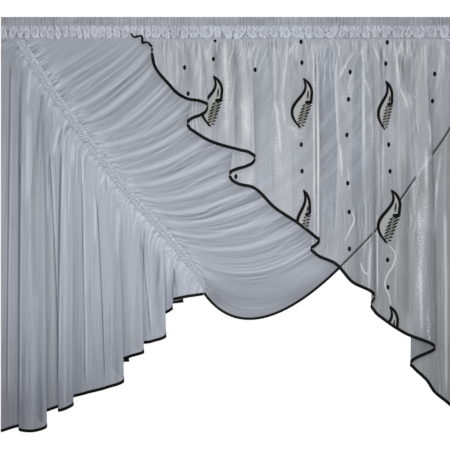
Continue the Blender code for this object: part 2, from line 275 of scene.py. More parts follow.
# across at its start, across at its end, down at its start, down at its end, half its width, height or depth
TAIL_CREASES = (
    (34, 21, 160, 1420, 2, -5.4), (40, 28, 200, 1400, 4, 1.5), (76, 66, 170, 640, 4, -2),
    (71, 65, 520, 1440, 2, -5.4), (78, 72, 520, 1420, 4, 2), (98, 100, 330, 700, 10, 2),
    (109, 94, 174, 337, 5, 3), (154, 112, 250, 690, 7, -2.2), (214, 185, 384, 518, 6, 3.2),
    (170, 170, 507, 626, 2, -4.5), (261, 257, 445, 543, 5, 3), (221, 206, 398, 471, 5, -3),
    (293, 293, 471, 626, 3, 3), (377, 358, 561, 615, 4, 3.5), (377, 380, 561, 640, 3, -3.5),
    (518, 514, 742, 988, 2, -4), (575, 568, 843, 988, 3, -3), (606, 600, 850, 990, 6, 2.5),
    (626, 630, 901, 988, 3, -3.5), (118, 124, 600, 1040, 11, -1.4), (166, 168, 480, 760, 4, 3),
    (173, 207, 480, 1220, 2, -5.4), (181, 214, 500, 1200, 3.5, 2.2), (218, 204, 470, 1350, 2, -5.0),
    (226, 212, 520, 1350, 3.5, 2.2), (288, 304, 500, 1350, 2, -5.0), (295, 311, 520, 1350, 4, 2.4),
    (345, 376, 640, 1330, 2, -5.0), (338, 342, 640, 840, 4, 3), (424, 422, 680, 900, 5, 3),
    (506, 541, 800, 1180, 2, -5.0), (514, 549, 860, 1160, 3.5, 2.2), (563, 565, 820, 1100, 9, -2),
    (627, 619, 890, 1040, 2, -5.0),
)

# Gathers: height, how much is taken off, how far apart, how long, sharpness, how far below the top they begin
# and are full (-1 and 0 where they start at the top), the length over which they fade, and a seed
LASTING = math.inf
PANEL_GATHERS = (
    (5.0, 0, 24, 95, 1, -1, 0, 80, 1),
    (2.4, 0, 40, 330, 1, -1, 0, 300, 2),
    (1.6, 0, 70, 900, 1, 40, 260, LASTING, 3),
)
PANEL_FINE_GATHERS = ((2.0, 0, 12, 90, 1, 10, 60, LASTING, 4),)
# Lines of painted highlight and painted shade along gathers of the panel: the first column is an amount of
# tone
PANEL_PAINTED_CREST_LINES = (
    (0.30, 0, 22, 85, 5, 0, 20, 110, 21),
    (-0.16, 0, 30, 120, 4, 0, 20, 110, 26),
)
TAIL_GATHERS = (
    (3.6, 0, 20, 130, 1, -1, 0, 90, 11),
    (0.8, 0, 34, 700, 1, -1, 0, 600, 12),
    (1.0, 0, 60, 1100, 1, 60, 300, LASTING, 13),
)
TAIL_FINE_GATHERS = ((1.2, 0, 11, 420, 1, 10, 60, LASTING, 14),)
# Lines of painted highlight and painted shade along gathers of the tail: the first column is an amount of
# tone
TAIL_PAINTED_CREST_LINES = (
    (0.12, 0, 15, 130, 4, 0, 20, 150, 22),
    (-0.10, 0, 26, 500, 5, 30, 120, LASTING, 23),
)
# Pale ticks of painted highlight on the tail beside the seam: the first column is an amount of tone
TAIL_TICKS = ((0.6, 0.3, 9, 60, 1, -1, 0, 36, 24),)
SWAG_SEAM_GATHERS = ((2.6, 0.35, 13, 70, 1, 0, 6, 40, 32),)
SWAG_GATHERS = (
    (1.04, 0.35, 22, 240, 1, -1, 0, LASTING, 33),
    (1.3, 0.35, 22, 240, 1, 40, 220, LASTING, 33),
    (1.5, 0.35, 31, 420, 1, 60, 200, LASTING, 34),
    (0.9, 0.35, 10, 200, 1, 60, 220, LASTING, 35),
)
# Pale ticks of painted highlight on the swag beside the seam: the first column is an amount of tone
SWAG_TICKS = ((0.75, 0.3, 8, 60, 1, -1, 0, 36, 36),)

# How soft a band's edge is, and between which depths the top's wandering is over and full
BAND_EDGE = 5.0
TOP_WANDER_OUT = (300, 120)

# Uneven values: how much, how wide, how long, and a seed
PANEL_BUSY = ((1, 75, 190, 5),)
TAIL_BUSY = ((1, 60, 260, 15),)
LAYER_WANDER = ((0.5, 50, 170, 9),)
BAND_WANDER = ((7, 60, 260, 6), (2, 20, 60, 7))
TOP_BAND_WANDER = ((14, 45, 60, 8),)
FOLD_WANDER = ((9, 70, 260, 31),)
PUFF_WANDER = ((0.22, 50, 1, 41),)
CRUMPLE_WANDER = ((5, 14, 10, 47),)
TAPE_PATCHES = ((0.15, 90, 200, 48),)
HEADER_BLOTCHES = ((0.16, 16, 18, 49), (0.14, 60, 60, 53))
TAIL_LAYERS = ((0.04, 44, 900, 65), (0.04, 17, 700, 67))
SWAG_LAYERS = ((0.08, 30, 300, 37),)

# The uneven value at which fine gathers begin, and the one at which they are full
BUSY = (0.1, 0.7)

# Gathers of the header and the crumpled tape: how far apart, how long, and a seed
HEADER_GATHERS = (9, 60, 43)
CRUMPLE = (5.5, 11, 44)

# How the painted highlights and shade follow the relief: a reach in strings, and a gain
PANEL_PAINTED_CRESTS = ((2, 0.45), (8, 0.05))
TAIL_PAINTED_CRESTS = ((2, 0.36), (6, 0.025))
TAIL_PAINTED_RECESS_LIGHT = ((24, 0.005),)
SWAG_PAINTED_CRESTS = ((1, 0.16), (2, 0.17), (5, 0.02))
HEADING_PAINTED_CRESTS = ((1, 0.5), (4, 0.1))

# Broad patches of painted light and shade: how much, then for each of its sides and ends where it has none
# and where it is full
PANEL_PAINTED_LIGHT = (
    (-0.75, ((1430, 1600),), ((230, 480),)),
    (-1.0, ((1180, 1300), (1520, 1440)), ((450, 650),)),
    (0.6, ((800, 880), (1110, 1040)), ((250, 420),)),
    (-0.9, (), ((1060, 1260),)),
    (0.55, ((1440, 1480), (1540, 1500)), ((600, 720),)),
)
TAIL_PAINTED_LIGHT = (
    (-0.8, ((180, -40),), ()),
    (-0.5, (), ((1280, 1420),)),
    (-1.3, (), ((960, 1440),)),
    (0.585, ((350, 480),), ((960, 1440),)),
    (-0.6, ((200, 60),), ((250, 100),)),
    (-0.65, (), ((700, 350),)),
    (0.5, ((440, 480), (550, 510)), ((820, 960),)),
)
SWAG_PAINTED_LIGHT = (
    (-0.4, (), ((620, 200),)),
    (-0.8, ((915, 985),), ()),
    (0.48, ((915, 985),), ((1000, 1060),)),
    (-0.7, (), ((915, 985), (1080, 1010))),
)

# across and down of the tip, size, lean, width
LEAVES = (
    (769, 214, 1.0, 0.0, 1.0),
    (1094, 223, 0.98, 0.0, 1.0),
    (1392, 232, 0.96, 0.02, 0.72),
    (1094, 626, 1.0, 0.04, 0.66),
    (1411, 626, 1.05, -0.02, 1.0),
    (1406, 1046, 1.0, 0.0, 0.9),
)
LEAF_LENGTH = 184.0
LEAF_POINTS = 61
BUD_POINT = 29
BUD_SIZE = 7.0
COMB_STITCHES = 8

# A motif is left out over a step of the cloth that is higher than a fold's edge, and where another layer of
# the panel lies further than the gap in front of the motif's first place
FOLD_EDGE = 9.0
LAYER_GAP = 12.0

# Shares of an oval's size at its rings of places, and the places around it
OVAL_RINGS = (0.05, 0.6, 1.0)
OVAL_PLACES = 13

# across and down of each dot
DOTS = (
    (665, 184), (678, 279), (769, 153), (775, 84), (920, 192), (850, 578), (1086, 90), (1089, 166),
    (1086, 463), (1089, 559), (1263, 200), (1257, 299), (1251, 428), (1254, 602), (1259, 706),
    (1260, 839), (1398, 92), (1392, 169), (1402, 463), (1407, 559), (1398, 879), (1399, 978),
    (1569, 207), (1561, 305),
)
DOT_HALF_WIDTH = 6.0
DOT_HALF_HEIGHT = 9.0

# across and down along each white curl
CURLS = (
    ((1268, 701), (1277, 733), (1262, 772), (1244, 811)),
    ((1404, 827), (1424, 853), (1417, 901), (1395, 937), (1388, 968), (1402, 1005), (1410, 1040)),
    ((1300, 890), (1312, 922), (1330, 935), (1334, 952)),
)

# Dark and pale colour of each cloth, for the sheer satin where it is single and where it is doubled
VOILE_COLOURS = ((0.125, 0.137, 0.165, 1), (0.60, 0.645, 0.74, 1))
TAPE_COLOURS = ((0.13, 0.14, 0.137, 1), (0.66, 0.69, 0.79, 1))
BLACK_COLOURS = ((0.002, 0.002, 0.002, 1), (0.007, 0.007, 0.008, 1))
SATIN_SINGLE = ((0.12, 0.13, 0.16, 1), (0.68, 0.73, 0.83, 1))
SATIN_DOUBLED = ((0.14, 0.15, 0.145, 1), (0.75, 0.775, 0.78, 1))
WHITE = (1, 1, 1, 1)
FLOOR_COLOUR = (0.86, 0.86, 0.86, 1)

# How much of what is behind the cloths they cover: the sheer satin over the swag, its binding and the studio
VOILE_COVER = 0.95
OVER_SWAG = 0.64
OVER_BINDING = 0.2
OVER_STUDIO = 0.94

# Dark and pale colour and roughness of each thread
THREADS = {
    "black thread": ((0.002, 0.002, 0.002, 1), (0.006, 0.006, 0.006, 1), 0.55),
    "olive grey thread": ((0.33, 0.345, 0.33, 1), (0.56, 0.58, 0.57, 1), 0.5),
    "dark olive thread": ((0.09, 0.095, 0.08, 1), (0.30, 0.31, 0.28, 1), 0.5),
    "white thread": ((0.55, 0.57, 0.59, 1), (0.76, 0.78, 0.80, 1), 0.3),
}


# Lines and places

def in_metres(points):
    """Places in the frame of the solids, for across, down and forward in millimetres."""
    points = np.asarray(points, dtype=float)
    across, down, forward = points[..., 0], points[..., 1], points[..., 2]
    return np.stack(((across - WIDTH / 2) / 1000, -forward / 1000, -down / 1000), axis=-1)


def knots_along(points):
    """The distance along a row of points, at each of them."""
    lengths = np.linalg.norm(np.diff(points, axis=0), axis=1)
    return np.concatenate(([0.0], np.cumsum(lengths)))


def directions(points):
    """The direction of a row of points, at each of them."""
    steps = np.diff(points, axis=0)
    steps /= np.maximum(np.linalg.norm(steps, axis=1), 1e-9)[:, None]
    along = np.vstack((steps[:1], steps[:-1] + steps[1:], steps[-1:]))
    return along / np.maximum(np.linalg.norm(along, axis=1), 1e-9)[:, None]


def smooth(knots, values, at, turns=None):
    """A smooth curve through the values at the knots. At a turn, the cloth goes only back or forward."""
    spans = np.diff(knots)[:, None]
    rates = np.diff(values, axis=0) / spans
    inner = (spans[1:] * rates[:-1] + spans[:-1] * rates[1:]) / (spans[:-1] + spans[1:])
    slopes = np.vstack((rates[:1], inner, rates[-1:]))
    if turns is not None:
        slopes[turns != 0, 0] = 0.0
        slopes[turns != 0, 2] = TURN_SLOPE * turns[turns != 0]
    cell = np.clip(np.searchsorted(knots, at, side="right") - 1, 0, len(spans) - 1)
    span = spans[cell]
    s = ((at - knots[cell])[:, None]) / span
    start, end = values[cell], values[cell + 1]
    leave, arrive = slopes[cell] * span, slopes[cell + 1] * span
    return (
        (2 * s**3 - 3 * s**2 + 1) * start
        + (s**3 - 2 * s**2 + s) * leave
        + (3 * s**2 - 2 * s**3) * end
        + (s**3 - s**2) * arrive
    )


def curve_through(points, count):
    """This many places, evenly spaced along a smooth curve through the points."""
    points = np.array(points, dtype=float)
    knots = knots_along(points)
    return smooth(knots, points, np.linspace(0, knots[-1], count))


def steps_between(knots, spacing, turns):
    """Places along the knots, about this far apart and closer together towards a turn."""
    places = [knots[0]]
    for k, (start, end) in enumerate(zip(knots[:-1], knots[1:])):
        turning = turns[k] or turns[k + 1]
        count = max(TURN_STEPS if turning else 1, round((end - start) / spacing))
        for i in range(1, count + 1):
            share = i / count
            if turns[k] and turns[k + 1]:
                share = (1 - math.cos(math.pi * share)) / 2
            elif turns[k]:
                share = 1 - math.cos(math.pi / 2 * share)
            elif turns[k + 1]:
                share = math.sin(math.pi / 2 * share)
            places.append(start + (end - start) * share)
    return np.array(places)


def hem_line(table, spacing):
    """Places along a hem, with its pleats turned as its table says."""
    rows = np.array(table, dtype=float)
    knots = knots_along(rows[:, :2])
    return smooth(knots, rows[:, :3], steps_between(knots, spacing, rows[:, 3]), rows[:, 3])


def lining_forward(down):
    """How far forward the swag and the seam stand at this depth below the heading."""
    fall = np.maximum(down - HEADING_DROP, 0)
    return LINING_TOP - LINING_BACK * (1 - np.exp(-fall / LINING_SETTLE))


def seam_frame(spacing):
    """Points along the middle of the seam tape, the direction towards the swag, and half the tape's width."""
    rows = np.array(SEAM_LINE, dtype=float)
    knots = knots_along(rows)
    places = np.linspace(knots[0], knots[-1], round(knots[-1] / spacing) + 1)
    middle = smooth(knots, rows, places)
    along = directions(middle)
    to_swag = np.column_stack((along[:, 1], -along[:, 0]))
    share = np.sin(math.pi / 2 * np.minimum(1.0, (knots[-1] - places) / SEAM_TAPER))
    half = SEAM_WIDTH / 2 * (SEAM_END_SHARE + (1 - SEAM_END_SHARE) * share)
    return places, middle, to_swag, half


def gathered_top(hem, left, right):
    """Where each string of cloth leaves the heading: pleats are drawn together there, never crossing."""
    length = knots_along(hem)
    even = left + (right - left) * length / length[-1]
    front = np.maximum.accumulate(hem[:, 0])
    front = left + (front - front[0]) / (front[-1] - front[0]) * (right - left)
    return FOLD_SPREAD * front + (1 - FOLD_SPREAD) * even


def hang(top, foot, rows, settle):
    """One string of cloth, from its place at the heading or seam to the hem, settling into its pleat."""
    fall = max(foot[1] - top[1], SHORTEST_FALL)
    share = np.linspace(0, 1, rows + 1) ** ROW_CROWD
    sideways = (1 - np.exp(-share * fall / ACROSS_SETTLE)) / (1 - math.exp(-fall / ACROSS_SETTLE))
    outward = (1 - np.exp(-share * fall / settle)) / (1 - math.exp(-fall / settle))
    return np.column_stack((
        top[0] + (foot[0] - top[0]) * sideways,
        top[1] + fall * share,
        top[2] + (foot[2] - top[2]) * outward,
    ))


# Relief of the cloths

def ramp(values, start, end):
    """0 at the start and on its side, 1 at the end and beyond, and smooth between."""
    share = np.clip((values - start) / (end - start), 0, 1)
    return share * share * (3 - 2 * share)


def soft_noise(x, y, seed):
    """Smooth noise between -1 and 1, with one value for each whole number across and down."""
    size = 128
    table = np.random.default_rng(seed).uniform(-1, 1, (size, size))
    column, row = np.floor(x).astype(int), np.floor(y).astype(int)
    right, below = ramp(x - column, 0, 1), ramp(y - row, 0, 1)
    column, row = column % size, row % size
    beside, under = (column + 1) % size, (row + 1) % size
    near = table[column, row] * (1 - right) + table[beside, row] * right
    far = table[column, under] * (1 - right) + table[beside, under] * right
    return near * (1 - below) + far * below


def uneven(across, down, table):
    """Smooth noise of several sizes, added up."""
    return sum(amount * soft_noise(across / wide, down / long, seed) for amount, wide, long, seed in table)


def gathers(across, down, pitch, run, seed):
    """Creased gathers between 0 and 1: narrow crests, this far apart and this long."""
    wander = soft_noise(across / pitch / 4, down / run * 1.7, seed + 50) * 0.7
    return (1 - np.abs(soft_noise(across / pitch * 1.6 + wander, down / run, seed))) ** 2


def all_gathers(across, down, fall, table):
    """The gathers of a table, added up. The fall is the length of cloth above each place."""
    total = np.zeros_like(across)
    for height, less, pitch, run, power, start, full, fade, seed in table:
        share = ramp(fall, start, full) * np.exp(-fall / fade)
        total += height * (gathers(across, down, pitch, run, seed) ** power - less) * share
    return total


def bands(across, down, table):
    """Upright bands of cloth with crisp edges, each band with its own value."""
    total = np.zeros_like(across)
    for amount, pitch, run, seed in table:
        place = across / pitch + 0.9 * soft_noise(across / pitch / 3, down / run, seed)
        place += 0.25 * soft_noise(across / pitch, down / run * 3, seed + 1)
        values = np.random.default_rng(seed).uniform(-1, 1, 256)
        cell = np.floor(place).astype(int)
        share = ramp(place - cell, 0.0, 0.12)
        total += amount * (values[(cell - 1) % 256] * (1 - share) + values[cell % 256] * share)
    return total


def broad_painted_light(across, down, table):
    """The broad patches of painted light and shade of a table, added up."""
    total = np.zeros_like(across)
    for amount, sides, ends in table:
        patch = np.full_like(across, amount)
        for places, edges in ((across, sides), (down, ends)):
            for none, full in edges:
                patch *= ramp(places, none, full)
        total += patch
    return total


def doubling(across, down):
    """How doubled the panel's cloth is at each place: bands with crisp edges that wander a little."""
    edges, values = np.array(PANEL_BANDS, dtype=float).T
    place = across + uneven(across, down, BAND_WANDER)
    place += uneven(across, down, TOP_BAND_WANDER) * ramp(down, *TOP_WANDER_OUT)
    cell = np.clip(np.searchsorted(edges, place, side="right") - 1, 0, len(edges) - 1)
    before = values[np.maximum(cell - 1, 0)]
    share = ramp(place - edges[cell], 0, BAND_EDGE)
    return before * (1 - share) + values[cell] * share


def embroidered(across, down):
    """1 where a leaf stiffens the cloth, 0 away from it."""
    near = np.zeros_like(across)
    half_width, half_height = LEAF_STIFFENS
    for leaf_across, leaf_down, size, _, _ in LEAVES:
        middle = leaf_down + LEAF_LENGTH * size / 2
        away = np.hypot((across - leaf_across) / half_width, (down - middle) / half_height)
        near = np.maximum(near, ramp(away, *STIFF_EDGE))
    return near


def crease_relief(across, down, table, wander=0.0):
    """Ridges and troughs that run down the cloth, each fading in and out at its ends."""
    relief = np.zeros_like(across)
    sway = wander * soft_noise(down / 11, 0 * down, 61)
    for start, end, high, low, half, height in table:
        share = np.clip((down - high) / (low - high), 0, 1)
        share *= 1 + CREASE_RUSH - CREASE_RUSH * share
        middle = start + (end - start) * share + sway
        lead, trail = (min(most, part * (low - high)) for most, part in (CREASE_LEAD, CREASE_TRAIL))
        fade = ramp(down, high, high + lead) * ramp(down, low, low - trail)
        relief += height * fade * np.exp(-(((across - middle) / half) ** 2))
    return relief


def painted_fold_shade(relief, table):
    """Painted highlight along the crests of the folds and painted shade in their troughs: more than 0 along
    the crests, less in the troughs.
    """
    tone = np.zeros_like(relief)
    for reach, gain in table:
        padded = np.pad(relief, ((reach + 1, reach), (0, 0)), mode="edge")
        sums = np.cumsum(padded, axis=0)
        mean = (sums[2 * reach + 1:] - sums[:-2 * reach - 1]) / (2 * reach + 1)
        tone += gain * (relief - mean)
    return np.clip(tone, -PAINTED_SHADE_LIMIT, PAINTED_SHADE_LIMIT)


def steepness(strings):
    """0 where the cloth faces the viewer, and towards 1 where a pleat turns edge-on."""
    step = np.abs(np.diff(strings[..., (0, 2)], axis=0))
    steep = step[..., 1] / np.maximum(step.sum(axis=-1), 1e-6)
    return np.concatenate((steep[:1], (steep[:-1] + steep[1:]) / 2, steep[-1:]))


def panel_relief(across, down):
    """Gathers of the sheer panel, finer in patches and calm where a leaf stiffens it."""
    fall = np.maximum(down - HEADING_DROP, 0)
    busy = ramp(uneven(across, down, PANEL_BUSY), *BUSY) * (1 - CALMER_BY * ramp(down, *CALMER))
    relief = all_gathers(across, down, fall, PANEL_GATHERS)
    relief += all_gathers(across, down, fall, PANEL_FINE_GATHERS) * busy
    return relief * ramp(fall, *PANEL_GATHERS_IN) * (1 - LEAF_CALM * embroidered(across, down))


def tail_relief(lean, down, fall):
    """Gathers of the tail, finer in patches."""
    busy = ramp(uneven(lean, down, TAIL_BUSY), *BUSY)
    relief = all_gathers(lean, down, fall, TAIL_GATHERS)
    relief += all_gathers(lean, down, fall, TAIL_FINE_GATHERS) * busy
    return relief * ramp(fall, *TAIL_GATHERS_IN)


# Cloths as strings from the heading or the seam to the hem

def panel_strings():
    """The sheer panel, hung from the heading to its diagonal hem."""
    hem = hem_line(FRONT_HEM, PANEL_STEP)
    tops = [(across, CLOTH_TOP, PANEL_TOP) for across in gathered_top(hem, hem[0, 0], WIDTH)]
    strings = np.array([hang(top, foot, PANEL_ROWS, PANEL_SETTLE) for top, foot in zip(tops, hem)])
    across, down = strings[..., 0], strings[..., 1]
    fall = down - CLOTH_TOP
    relief = panel_relief(across, down)
    creases = crease_relief(across, down, PANEL_CREASES) * ramp(fall, *PANEL_CREASES_IN)
    creases *= 1 - LEAF_CALM * embroidered(across, down)
    strings[..., 2] += relief + CREASE_SHARE * creases
    layer = doubling(across, down) * ramp(fall, *PANEL_LAYERS_IN) * (1 - SINGLER_BY * ramp(down, *SINGLER))
    layer *= 0.75 + uneven(across, down, LAYER_WANDER)
    # Painted shade in the troughs and painted highlights on the crests of the gathers and creases
    painted_shade_and_layers = painted_fold_shade(relief, PANEL_PAINTED_CRESTS) + CREASE_PAINTED_SHADE * creases
    painted_shade_and_layers += all_gathers(across, down, fall, PANEL_PAINTED_CREST_LINES)
    # Painted light where a pleat turns edge-on
    painted_shade_and_layers += PANEL_PAINTED_EDGE_LIGHT * steepness(strings) * ramp(fall, *PANEL_STEEP_IN)
    # Lines of painted glint
    painted_glint = crease_relief(across, down, PAINTED_GLINT_LINES, PAINTED_GLINT_WANDER)
    # Paler where gathered below the heading, with broad patches of painted light and shade
    fullness_and_painted_light = np.exp(-fall / PANEL_FULL_TOP) + broad_painted_light(across, down, PANEL_PAINTED_LIGHT)
    return strings, {"fullness_and_painted_light": fullness_and_painted_light, "painted_shade_and_layers": painted_shade_and_layers, "doubled": layer, "painted_glint": painted_glint}


def tail_strings():
    """The plain tail, hung from the seam to its stepped hem."""
    hem = hem_line(TAIL_HEM, TAIL_STEP) - np.array((0, TAIL_LIFT, 0))
    _, middle, to_swag, half = seam_frame(SEAM_STEP)
    edge = middle - to_swag * (half - SEAM_TUCK)[:, None]
    across = gathered_top(hem, 0.0, edge[-1, 0])
    down = np.maximum(CLOTH_TOP, np.interp(across, edge[:, 0], edge[:, 1]))
    tops = np.column_stack((across, down, lining_forward(down)))
    strings = np.array([hang(top, foot, TAIL_ROWS, TAIL_SETTLE) for top, foot in zip(tops, hem)])
    across, down = strings[..., 0], strings[..., 1]
    fall = down - down[:, :1]
    lean = across + TAIL_LEAN * (1 - np.exp(-fall / TAIL_LEAN_FALL))
    relief = tail_relief(lean, down, fall)
    creases = crease_relief(across, down, TAIL_CREASES) * ramp(fall, *TAIL_CREASES_IN)
    strings[..., 2] += relief + CREASE_SHARE * creases
    # Bands of doubled cloth, with painted light in the recesses of the pleats
    layers_and_painted_light = bands(across, down, TAIL_LAYERS) - painted_fold_shade(strings[..., 2], TAIL_PAINTED_RECESS_LIGHT)
    # Painted light where a pleat turns edge-on
    layers_and_painted_light += TAIL_PAINTED_EDGE_LIGHT * steepness(strings)
    along_seam = 0.62 * across + 0.79 * down
    # Painted shade in the troughs and painted highlights on the crests of the folds, creases and gathers,
    # beside the bands of doubled cloth
    painted_shade_and_layers = painted_fold_shade(relief, TAIL_PAINTED_CRESTS) + CREASE_PAINTED_SHADE * creases
    painted_shade_and_layers += layers_and_painted_light * ramp(fall, *TAIL_LAYERS_IN)
    painted_shade_and_layers += all_gathers(lean, down, fall, TAIL_PAINTED_CREST_LINES)
    painted_shade_and_layers += all_gathers(along_seam, fall, fall, TAIL_TICKS)
    # Paler where gathered by the seam, with broad patches of painted light and shade
    fullness_and_painted_light = 0.5 + 0.4 * np.exp(-fall / SEAM_FULL_TOP) + broad_painted_light(across, down, TAIL_PAINTED_LIGHT)
    return strings, {"fullness_and_painted_light": fullness_and_painted_light, "painted_shade_and_layers": painted_shade_and_layers}


def ridge_height(place):
    """Height of the swag's folds at this place down the seam: sharp crests and wide troughs."""
    rows = np.array(SWAG_RIDGES, dtype=float)
    k = np.clip(np.searchsorted(rows[:, 0], place, side="right") - 1, 0, len(rows) - 2)
    share = (place - rows[k, 0]) / (rows[k + 1, 0] - rows[k, 0])
    trough = -(rows[k, 1] + rows[k + 1, 1]) / 2
    peak = np.where(share < 0.5, rows[k, 1], rows[k + 1, 1])
    return trough + (peak - trough) * ((1 + np.cos(2 * math.pi * share)) / 2) ** RIDGE_SHARPNESS


def fold_line(place, start, share):
    """One fold of the swag: a curve that leaves the seam at its own angle and rises to the heading."""
    fan = np.array(SWAG_FAN, dtype=float)
    out_angle, out, across, rise_angle, rise = smooth(fan[:, 0], fan[:, 1:], np.array([place]))[0]
    end = np.array((across, CLOTH_TOP))
    out_angle, rise_angle = math.radians(out_angle), math.radians(rise_angle)
    leave = start + out * np.array((math.cos(out_angle), math.sin(out_angle)))
    arrive = end - rise * np.array((math.cos(rise_angle), -math.sin(rise_angle)))
    line = (
        (1 - share) ** 3 * start
        + 3 * share * (1 - share) ** 2 * leave
        + 3 * share**2 * (1 - share) * arrive
        + share**3 * end
    )
    sag = sum(depth * ramp(line[:, 0], *stretch) for depth, *stretch in SAGS)
    line[:, 1] += sag * ramp(line[:, 0], *SAG_END) * ramp(place, SAG_FROM, SWAG_RIDGES[-1][0])
    line[:, 1] = np.maximum(line[:, 1], CLOTH_TOP)
    return line


def swag_strings():
    """Fold lines of the swag, fanned out from the seam and rising to the heading."""
    _, middle, to_swag, half = seam_frame(SEAM_STEP)
    edge = middle + to_swag * (half - SEAM_TUCK)[:, None]
    share = (np.linspace(0, 1, SWAG_ROWS + 1) ** SWAG_CROWD)[:, None]
    first, last = SWAG_RIDGES[0][0], SWAG_RIDGES[-1][0]
    places = np.linspace(first, last, round((last - first) / SWAG_PITCH) + 1)
    starts = np.column_stack([np.interp(places, middle[:, 1], edge[:, k]) for k in (0, 1)])
    strings = np.array([fold_line(place, start, share) for place, start in zip(places, starts)])
    away = np.array([knots_along(line) for line in strings])
    down = strings[..., 1]
    settle = 1 - np.exp(-(down - CLOTH_TOP) / RIDGE_SETTLE)
    open_out = np.minimum(1, RIDGE_START + RIDGE_GROWTH * share[:, 0])[None, :] * settle
    seam_place = np.repeat(places[:, None], SWAG_ROWS + 1, axis=1)
    wander = uneven(seam_place, away, FOLD_WANDER) * ramp(away, *SWAG_WANDER_IN)
    relief = RIDGE_SHARE * ridge_height(np.clip(seam_place + wander, first, last)) * open_out
    relief += all_gathers(seam_place, away, away, SWAG_SEAM_GATHERS)
    relief += all_gathers(seam_place, away, away, SWAG_GATHERS) * settle
    relief *= 1 - FOOT_CALM * ramp(seam_place, *SWAG_FOOT)
    strings = np.dstack((strings, lining_forward(down) + relief))
    # Paler by the seam and further from it, with broad patches of painted light and shade
    fullness_and_painted_light = 0.2 * np.exp(-away / SEAM_FULL_TOP) + 0.3 * ramp(away, *SWAG_FULLER_IN) - 0.1
    fullness_and_painted_light += broad_painted_light(seam_place, down, SWAG_PAINTED_LIGHT)
    # Painted shade in the troughs and painted highlights on the crests of the folds, with bands of doubled
    # cloth
    painted_shade_and_layers = painted_fold_shade(relief, SWAG_PAINTED_CRESTS) + all_gathers(seam_place, away, away, SWAG_TICKS)
    painted_shade_and_layers += bands(seam_place, away, SWAG_LAYERS) * ramp(seam_place, *SWAG_LAYERS_IN)
    return strings, {"fullness_and_painted_light": fullness_and_painted_light, "painted_shade_and_layers": painted_shade_and_layers}


# Making meshes

def grid_faces(columns, rows):
    """The faces of a grid of points, given column by column."""
    index = np.arange(columns * rows).reshape(columns, rows)
    return np.stack((index[:-1, :-1], index[:-1, 1:], index[1:, 1:], index[1:, :-1]), axis=-1).reshape(-1, 4)


def add_piece(name, points, faces, material, marks=None, flat=None):
    """A smooth mesh piece, with named values at its points and its flat cloth sizes as a UV map."""
    mesh = bpy.data.meshes.new(name)
    mesh.from_pydata(in_metres(points).tolist(), [], [list(face) for face in faces])
    mesh.update()
    for label, values in (marks or {}).items():
        kept = mesh.attributes.new(label, "FLOAT", "POINT").data
        kept.foreach_set("value", np.ravel(values).astype(np.float32))
    if flat is not None:
        corner = np.zeros(len(mesh.loops), dtype=np.int32)
        mesh.loops.foreach_get("vertex_index", corner)
        layer = mesh.uv_layers.new(name="cloth")
        layer.data.foreach_set("uv", np.ravel(np.asarray(flat)[corner]).astype(np.float32))
    mesh.shade_smooth()
    mesh.materials.append(material)
    piece = bpy.data.objects.new(name, mesh)
    bpy.context.scene.collection.objects.link(piece)
    return piece


def add_cloth(name, strings, marks, material):
    """One thin cloth through a grid of strings, facing forward."""
    columns, rows = strings.shape[:2]
    across = np.repeat(knots_along(strings[:, -1])[:, None], rows, axis=1)
    down = np.array([knots_along(string) for string in strings])
    flat = np.stack((across, down), axis=-1).reshape(-1, 2) / 1000
    return add_piece(name, strings.reshape(-1, 3), grid_faces(columns, rows), material, marks, flat)


def add_band(name, sections, marks, material):
    """A closed band through sections that all have the same number of corners."""
    sections = np.asarray(sections)
    count, corners = sections.shape[:2]
    index = np.arange(count * corners).reshape(count, corners)
    after = np.roll(index, -1, axis=1)
    faces = np.stack((index[:-1], after[:-1], after[1:], index[1:]), axis=-1).reshape(-1, 4).tolist()
    faces.append(index[0][::-1].tolist())
    faces.append(index[-1].tolist())
    length = knots_along(sections.mean(axis=1))
    girth = np.array([knots_along(section) for section in sections])
    flat = np.stack((np.repeat(length[:, None], corners, axis=1), girth), axis=-1).reshape(-1, 2) / 1000
    piece = add_piece(name, sections.reshape(-1, 3), faces, material, marks, flat)
    maker = bmesh.new()
    maker.from_mesh(piece.data)
    bmesh.ops.recalc_face_normals(maker, faces=maker.faces)
    maker.to_mesh(piece.data)
    maker.free()
    return piece


def hem_binding(edge, inside, width, wrap=0.5, stop=0.0, lead=1.0):
    """Sections of a folded satin binding along a hem, narrow over the lead at its start.

    The inside points lie in the cloth. This share of the binding's width is wrapped over the cloth's edge.
    """
    length = knots_along(edge)
    keep = length <= length[-1] - stop
    edge, inside = edge[keep], inside[keep]
    along = directions(edge)
    outward = edge - inside
    outward -= (outward * along).sum(axis=1)[:, None] * along
    outward /= np.linalg.norm(outward, axis=1)[:, None]
    across_cloth = np.cross(outward, along)
    angle = np.linspace(0, 2 * math.pi, BINDING_CORNERS, endpoint=False)
    widths = width * (BINDING_START_SHARE + (1 - BINDING_START_SHARE) * ramp(length[keep], 0.0, lead))
    reach = widths[:, None] * ((1 - np.cos(angle)) / 2 - wrap)
    side = BINDING_DEPTH / 2 * np.sign(np.sin(angle)) * np.abs(np.sin(angle)) ** BINDING_SQUARENESS
    return edge[:, None] + outward[:, None] * reach[..., None] + across_cloth[:, None] * side[None, :, None]


def narrow_band(line, width):
    """Sections of a narrow rounded band along a line that lies on the front of the cloth."""
    middle = curve_through(line, NARROW_STEPS)
    along = directions(middle)
    side = np.cross(along, (0, 0, 1.0))
    side /= np.linalg.norm(side, axis=1)[:, None]
    angle = np.linspace(0, 2 * math.pi, BINDING_CORNERS, endpoint=False)
    taper = np.linspace(NARROW_START_SHARE, 1, NARROW_STEPS)[:, None, None]
    wide = side[:, None] * (width / 2 * np.cos(angle))[None, :, None] * taper
    deep = np.array((0, 0, BINDING_DEPTH / 2)) * np.sin(angle)[None, :, None]
    return middle[:, None] + wide + deep


